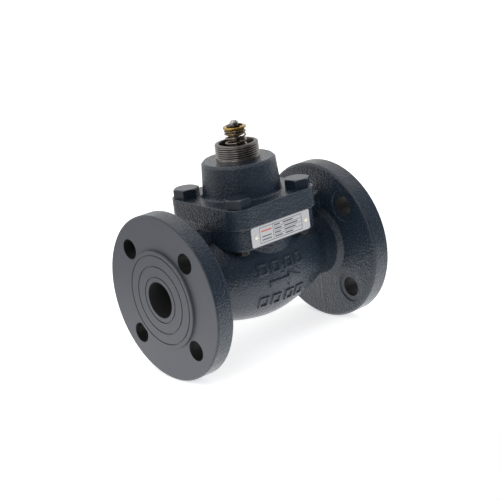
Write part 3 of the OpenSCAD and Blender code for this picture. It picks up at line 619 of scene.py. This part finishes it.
def matt(name, colour, roughness, grain_mm):
    """A dull solid, such as printed ink, seal plastic, graphite or rubber, with a fine uneven
    grain."""
    finish, tree, shader = new_finish(name, IOR=1.45)
    place = put(tree, "ShaderNodeTexCoord").outputs["Object"]
    grain = put(tree, "ShaderNodeTexNoise", {
        "Vector": place, "Scale": 1 / (grain_mm * MM), "Detail": 2.0}).outputs["Fac"]
    tint = put(tree, "ShaderNodeMix", {
        "Factor": grain, "A": shade(colour, 0.88), "B": shade(colour, 1.1)}, data_type="RGBA")
    gloss = put(tree, "ShaderNodeMapRange", {
        "Value": grain, "To Min": roughness * 0.85, "To Max": min(1.0, roughness * 1.15)})
    plug_in(tree, shader, Base_Color=tint.outputs["Result"], Roughness=gloss.outputs[0])
    return finish


def dress(finish, *names):
    """Gives CAD nodes a material in place of their own."""
    for name in names:
        mesh = NODES[name].data
        mesh.materials.clear()
        mesh.materials.append(finish)


# Stage


def light_room(scene, settings):
    """The surroundings: white to the camera; dark in front, where the camera stands, to
    reflections alone, so that the front of the paint stays deep; and brighter below the horizon
    to matt surfaces, for the white floor in front of the table, which lights the bowl."""
    to_front = (-0.2, -0.98, 0.05)
    dark_rim, dark_core = -0.1, 0.35  # cosines from there, where the dark begins and is full
    low = -0.4  # height of a direction at which the brighter part is full
    world = bpy.data.worlds.new("white_room")
    scene.world = world
    world.use_nodes = True
    tree = world.node_tree
    path = put(tree, "ShaderNodeLightPath").outputs
    seen = put(tree, "ShaderNodeMath", {
        0: path["Is Camera Ray"], 1: path["Is Transmission Ray"]}, operation="MAXIMUM")
    either = put(tree, "ShaderNodeMath", {
        0: seen.outputs[0], 1: path["Is Glossy Ray"]}, operation="MAXIMUM")
    direction = put(tree, "ShaderNodeTexCoord").outputs["Generated"]
    forward = put(tree, "ShaderNodeVectorMath", {
        0: direction, 1: to_front}, operation="DOT_PRODUCT")
    mirrored = put(tree, "ShaderNodeMapRange", {
        "Value": forward.outputs["Value"], "From Min": dark_rim, "From Max": dark_core,
        "To Min": 1.0, "To Max": settings.front})
    white = put(tree, "ShaderNodeMix", {
        "Factor": seen.outputs[0], "A": mirrored.outputs[0], "B": 1.0}, data_type="FLOAT")
    height = put(tree, "ShaderNodeSeparateXYZ", {"Vector": direction}).outputs["Z"]
    soft = put(tree, "ShaderNodeMapRange", {
        "Value": height, "From Min": low, "From Max": 0.0, "To Min": settings.below,
        "To Max": settings.world})
    strength = put(tree, "ShaderNodeMix", {
        "Factor": either.outputs[0], "A": soft.outputs[0], "B": white.outputs["Result"]},
        data_type="FLOAT")
    back = tree.nodes["Background"]
    back.inputs["Color"].default_value = (1, 1, 1, 1)
    plug_in(tree, back, Strength=strength.outputs["Result"])


def lay_table(scene, settings):
    """A pale floor under the flanges that keeps their soft shadow. Its front edge is near the
    valve, so that the front of the paint doesn't mirror it, and can't be seen against the white
    room. Its own glow, a painted pool of light that lights the valve and shows in the valve's
    gloss, is full to 130 mm from the stem's foot and gone at 330 mm."""
    pool_full, pool_gone, seen_glow = 130, 330, 0.6
    left, right, front, back = -900, 1500, -230, 1700
    level = float(BODY_LOW[2])
    floor, tree, shader = new_finish("white_table", Roughness=0.9)
    shader.inputs["Base Color"].default_value = opaque(linear("#efeff0"))
    shader.inputs["Emission Color"].default_value = (1, 1, 1, 1)
    path = put(tree, "ShaderNodeLightPath").outputs
    seen = put(tree, "ShaderNodeMath", {
        0: path["Is Camera Ray"], 1: path["Is Transmission Ray"]}, operation="MAXIMUM")
    glow = put(tree, "ShaderNodeMix", {
        "Factor": path["Is Glossy Ray"], "A": settings.bounce, "B": settings.mirrored},
        data_type="FLOAT")
    place = put(tree, "ShaderNodeTexCoord").outputs["Object"]
    distance = put(tree, "ShaderNodeVectorMath", {
        0: place, 1: (STEM_X * MM, 0, level * MM)}, operation="DISTANCE")
    pool = put(tree, "ShaderNodeMapRange", {
        "Value": distance.outputs["Value"], "From Min": pool_full * MM,
        "From Max": pool_gone * MM, "To Min": 1.0, "To Max": 0.0},
        interpolation_type="SMOOTHSTEP")
    lit = put(tree, "ShaderNodeMath", {
        0: glow.outputs["Result"], 1: pool.outputs[0]}, operation="MULTIPLY")
    shown = put(tree, "ShaderNodeMix", {
        "Factor": seen.outputs[0], "A": lit.outputs[0], "B": seen_glow}, data_type="FLOAT")
    plug_in(tree, shader, Emission_Strength=shown.outputs["Result"])

    mesh = bpy.data.meshes.new("table")
    x, y = np.meshgrid(np.linspace(left, right, 3), np.linspace(front, back, 3))
    points = np.stack([x, y, np.full_like(x, level)], axis=-1)
    mesh.from_pydata((points.reshape(-1, 3) * MM).tolist(), [], grid_faces(3, 3).tolist())
    mesh.materials.append(floor)
    table = bpy.data.objects.new("table", mesh)
    scene.collection.objects.link(table)


def hang_lamps(scene, settings):
    """Three soft lamps, each with its place in millimetres, its size in metres and its power,
    turned to the middle of the valve. The paint's gloss doesn't mirror the side lamp."""
    target = Vector((STEM_X, 0, 20)) * MM
    for name, spot, size, power in (
            ("key", (-900, -500, 900), 0.9, settings.key),
            ("overhead", (150, 250, 1200), 1.2, settings.fill),
            ("side", (1050, -800, 120), 0.7, settings.side)):
        light = bpy.data.lights.new(name, "AREA")
        light.size = size
        light.energy = power
        lamp = bpy.data.objects.new(name, light)
        lamp.visible_glossy = name != "side"
        lamp.location = Vector(spot) * MM
        lamp.rotation_euler = (target - lamp.location).to_track_quat("-Z", "Y").to_euler()
        scene.collection.objects.link(lamp)


def aim_camera(scene):
    """The camera: its heading, tilt and roll give its three axes, and its place is as far back
    from the stem's foot along them as the fit says."""
    camera = bpy.data.cameras.new("view")
    camera.sensor_width = SENSOR
    camera.lens = LENS
    camera.clip_start, camera.clip_end = 0.05, 50.0  # metres
    heading, tilt, roll = np.radians([HEADING, TILT, ROLL])
    ahead = np.array([np.sin(heading) * np.cos(tilt), np.cos(heading) * np.cos(tilt),
                      -np.sin(tilt)])
    level_right = np.array([np.cos(heading), -np.sin(heading), 0.0])
    level_up = np.cross(level_right, ahead)
    right = np.cos(roll) * level_right + np.sin(roll) * level_up
    up = -np.sin(roll) * level_right + np.cos(roll) * level_up
    foot = np.array([STEM_X, 0, 0])
    spot = (foot - (ASIDE * right + UPWARD * up + AWAY * ahead)) * MM
    axes = np.stack([right, up, -ahead, spot], axis=1)
    viewer = bpy.data.objects.new("view", camera)
    viewer.matrix_world = Matrix([*axes.tolist(), [0, 0, 0, 1]])
    scene.collection.objects.link(viewer)
    scene.camera = viewer


# Operators


class VALVE_OT_casting(bpy.types.Operator):
    """Paints the cast body and bonnet and the bonnet's bolts"""

    bl_idname = "valve.casting"
    bl_label = "Casting"

    def execute(self, context):
        settings = context.scene.valve_casting
        dress(casting_paint(settings), "valve_body", "bonnet")
        dress(fastener_paint(settings), "bonnet_bolts")
        return {"FINISHED"}


class VALVE_OT_neck(bpy.types.Operator):
    """Makes the actuator neck with its helical thread"""

    bl_idname = "valve.neck"
    bl_label = "Threaded neck"

    def execute(self, context):
        settings = context.scene.valve_neck
        points, rows, columns = neck_points(settings)
        # Turned steel, dark with old oil: dull grey crests over nearly black grooves, darkened
        # there by old oil and painted shade
        oil_and_shade_full, oil_and_shade_gone = NECK_CREST - settings.depth * 0.7, NECK_CREST - 0.06
        steel = metal("oiled_turned_steel", settings.steel, roughness=0.32, grain_mm=1.2,
                      height_mm=0.003, edge_mm=0.04, stain=0.25,
                      stain_colour=linear("#35312f"), groove=(oil_and_shade_full, oil_and_shade_gone))
        faces = grid_faces(rows, columns, around=True, along=True)
        neck = make_piece(
            "threaded_neck", points, faces, "valve", steel, sharp=34)
        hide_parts("actuator_neck")
        return {"FINISHED"}


class VALVE_OT_spring(bpy.types.Operator):
    """Makes the stem's spring from round wire"""

    bl_idname = "valve.spring"
    bl_label = "Stem spring"

    def execute(self, context):
        settings = context.scene.valve_spring
        points, rows, sides = spring_points(settings)
        caps = [list(range(sides))[::-1], list(range((rows - 1) * sides, rows * sides))]
        faces = [list(face)[::-1] for face in grid_faces(rows, sides, around=True)] + caps
        # Drawn wire, browned by old oil: a bright line along each curl
        steel = metal("drawn_spring_steel", settings.steel, roughness=0.27, grain_mm=0.5,
                      height_mm=0.01, edge_mm=0.05, stain=0.6, stain_colour=linear("#3f301d"))
        spring = make_piece(
            "wire_spring", points, faces, "valve", steel, sharp=50)
        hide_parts("stem_spring")
        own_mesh(spring)
        return {"FINISHED"}


class VALVE_OT_stem(bpy.types.Operator):
    """Gives the stem, its retainer and its ring their metals"""

    bl_idname = "valve.stem"
    bl_label = "Stem and retainer"

    def execute(self, context):
        settings = context.scene.valve_stem
        # Turned bright, with a fine grain that softens what it mirrors
        dress(metal("turned_stainless_steel", settings.steel, roughness=0.22, grain_mm=0.4,
                    height_mm=0.006, stain=0.15),
              "stem", "plug", "plug_pin", "seat_ring", "balance_sleeve")
        # Turned yellow metal, with brown oil in patches
        dress(metal("turned_brass", settings.brass, roughness=0.26, grain_mm=0.5,
                    height_mm=0.008, edge_mm=0.15, stain=0.45,
                    stain_colour=linear("#553f21")), "spring_retainer")
        # Blackened in oil: a dull dark brown
        dress(metal("blackened_spring_steel", settings.ring, roughness=0.4, grain_mm=0.4,
                    height_mm=0.02, edge_mm=0.1, stain=0.6), "retaining_ring")
        # Zinc plate, darkened under a film of old oil
        dress(metal("zinc_washer_steel", settings.ring, roughness=0.5, grain_mm=0.5,
                    height_mm=0.01, edge_mm=0.1, stain=0.5), "spring_seat")
        return {"FINISHED"}


class VALVE_OT_plate(bpy.types.Operator):
    """Gives the nameplate its metal and prints a blank form on it"""

    bl_idname = "valve.plate"
    bl_label = "Nameplate"

    def execute(self, context):
        settings = context.scene.valve_plate
        dress(brushed_sheet(settings), "nameplate")
        # Tumbled aluminium scatters so much light that it is part metallic here: a pale dome
        dress(metal("tumbled_aluminium_rivet", settings.rivet, roughness=0.3, grain_mm=0.4,
                    height_mm=0.01, edge_mm=0.1, stain=0.1, metallic=0.3), "nameplate_rivets")
        middle = (PLATE_LOW + PLATE_HIGH) / 2
        front, ink_t = float(PLATE_LOW[1]), 0.02
        # Rules of a blank form: centre across and up from the plate's middle, length and height
        form = np.array([
            [0.0, 5.3, 37.9, 0.35], [0.0, -5.3, 37.9, 0.35], [-18.8, 0.0, 0.35, 10.9],
            [18.8, 0.0, 0.35, 10.9], [-7.0, 0.0, 0.3, 10.4], [5.9, 2.6, 25.4, 0.25],
            [5.9, 0.0, 25.4, 0.25], [5.9, -2.6, 25.4, 0.25], [-3.2, 4.0, 5.0, 0.8],
            [6.5, 4.0, 9.0, 0.8], [-2.6, 1.3, 6.2, 0.8], [9.0, 1.3, 12.0, 0.8],
            [-3.0, -1.3, 5.4, 0.8], [8.0, -1.3, 10.0, 0.8], [-2.4, -3.9, 6.6, 0.8],
            [7.0, -3.9, 7.0, 0.8], [-12.9, -1.2, 8.4, 0.7], [-12.9, -3.4, 8.4, 0.7]])
        accent = np.array([[-12.9, 2.6, 9.0, 1.0]])
        # Screen-printed inks, matt beside the metal's sheen
        for name, rules, ink, colour in (
                ("plate_form", form, "printed_ink", settings.ink),
                ("plate_rule", accent, "printed_red_ink", settings.accent)):
            centres = rules[:, :2] + np.array([middle[0], middle[2]])
            make_piece(name, slab_points(centres, rules[:, 2:], front, ink_t),
                       slab_faces(len(rules)), "valve",
                       matt(ink, colour, roughness=0.6, grain_mm=0.6))
        return {"FINISHED"}


class VALVE_OT_trim(bpy.types.Operator):
    """Gives the seals, packing and guides inside the valve their materials"""

    bl_idname = "valve.trim"
    bl_label = "Inner trim"

    def execute(self, context):
        # Pressed from powder: a dull golden brown
        dress(metal("sintered_bronze", linear("#b08d4c"), roughness=0.4, grain_mm=0.4,
                    height_mm=0.01, edge_mm=0.1, stain=0.3),
              "guide_bush", "packing_follower", "gland_nut", "packing_washer")
        # Rolled sheet, softened by heat: red, and a little dull
        dress(metal("annealed_copper", linear("#b06a45"), roughness=0.4, grain_mm=0.5,
                    height_mm=0.01, edge_mm=0.1, stain=0.3), "seat_gasket", "neck_seal")
        # Pressed and sintered: off-white and waxy
        dress(matt("filled_seal_plastic", linear("#dedad0"), roughness=0.5, grain_mm=0.5),
              "packing_rings", "piston_seal", "sleeve_seal")
        # Rolled sheet: dark grey and dull, as pencil lead is
        dress(matt("graphite_sheet", linear("#4a4b4e"), roughness=0.7, grain_mm=0.5),
              "bonnet_gasket")
        # Moulded: black, with a soft sheen
        dress(matt("nitrile_rubber", linear("#232427"), roughness=0.6, grain_mm=0.5),
              "wiper_ring")
        return {"FINISHED"}


class VALVE_OT_stage(bpy.types.Operator):
    """Sets up the pale floor, the soft lamps and the camera"""

    bl_idname = "valve.stage"
    bl_label = "Stage"

    def execute(self, context):
        scene = context.scene
        settings = scene.valve_stage
        scene.view_settings.view_transform = "Standard"
        light_room(scene, settings)
        lay_table(scene, settings)
        hang_lamps(scene, settings)
        aim_camera(scene)
        return {"FINISHED"}


class VALVE_PT_panel(bpy.types.Panel):
    """Lists the valve's sizes, colours and makers"""

    bl_label = "Valve"
    bl_idname = "VALVE_PT_panel"
    bl_space_type = "VIEW_3D"
    bl_region_type = "UI"
    bl_category = "Valve"

    def draw(self, context):
        for key, (_, operator) in SETTINGS.items():
            box = self.layout.box()
            group = getattr(context.scene, key)
            for name in group.bl_rna.properties.keys():
                if name not in ("rna_type", "name"):
                    box.prop(group, name)
            box.operator(operator)
        self.layout.operator("valve.trim")


CLASSES = (
    *(group for group, _ in SETTINGS.values()), VALVE_OT_casting, VALVE_OT_neck,
    VALVE_OT_spring, VALVE_OT_stem, VALVE_OT_plate, VALVE_OT_trim, VALVE_OT_stage,
    VALVE_PT_panel)


def register():
    """Registers the classes and hangs each group of settings on the scene."""
    for kind in CLASSES:
        bpy.utils.register_class(kind)
    for key, (group, _) in SETTINGS.items():
        setattr(bpy.types.Scene, key, PointerProperty(type=group))


def unregister():
    """Undoes register in the opposite order."""
    for key in reversed(SETTINGS):
        delattr(bpy.types.Scene, key)
    for kind in reversed(CLASSES):
        bpy.utils.unregister_class(kind)


def main():
    """Registers the classes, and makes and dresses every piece."""
    register()
    bpy.ops.valve.stage()
    bpy.ops.valve.casting()
    bpy.ops.valve.neck()
    bpy.ops.valve.spring()
    bpy.ops.valve.stem()
    bpy.ops.valve.plate()
    bpy.ops.valve.trim()


if __name__ == "__main__":
    main()
